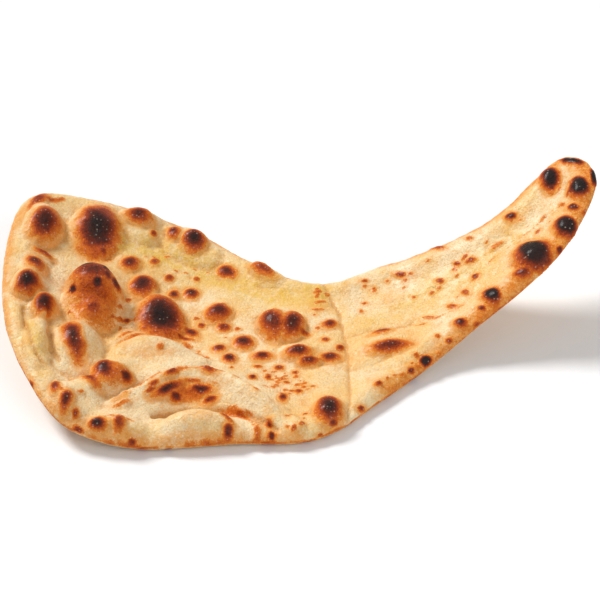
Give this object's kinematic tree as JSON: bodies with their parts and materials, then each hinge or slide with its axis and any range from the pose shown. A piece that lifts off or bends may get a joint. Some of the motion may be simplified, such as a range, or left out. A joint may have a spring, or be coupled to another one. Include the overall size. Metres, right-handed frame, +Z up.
{
  "type": "naan bread",
  "caption": "Long hand-stretched naan: a broad blistered lobe with a folded front edge, a fold line across the middle and a narrow tail that rises to one side.",
  "frame": {"origin": "middle of the bounding box at its lowest level, in the plane of the flat spot the bread rests on", "axes": "+Z up, +X along the bread from the round lobe to the tail, +Y to the back"},
  "size_m": [0.4062, 0.2362, 0.0914],
  "materials": {
    "baked_dough": "browned bread crust with buttered patches"
  },
  "bodies": {
    "root": {"naan": "baked_dough"}
  },
  "joints": []
}
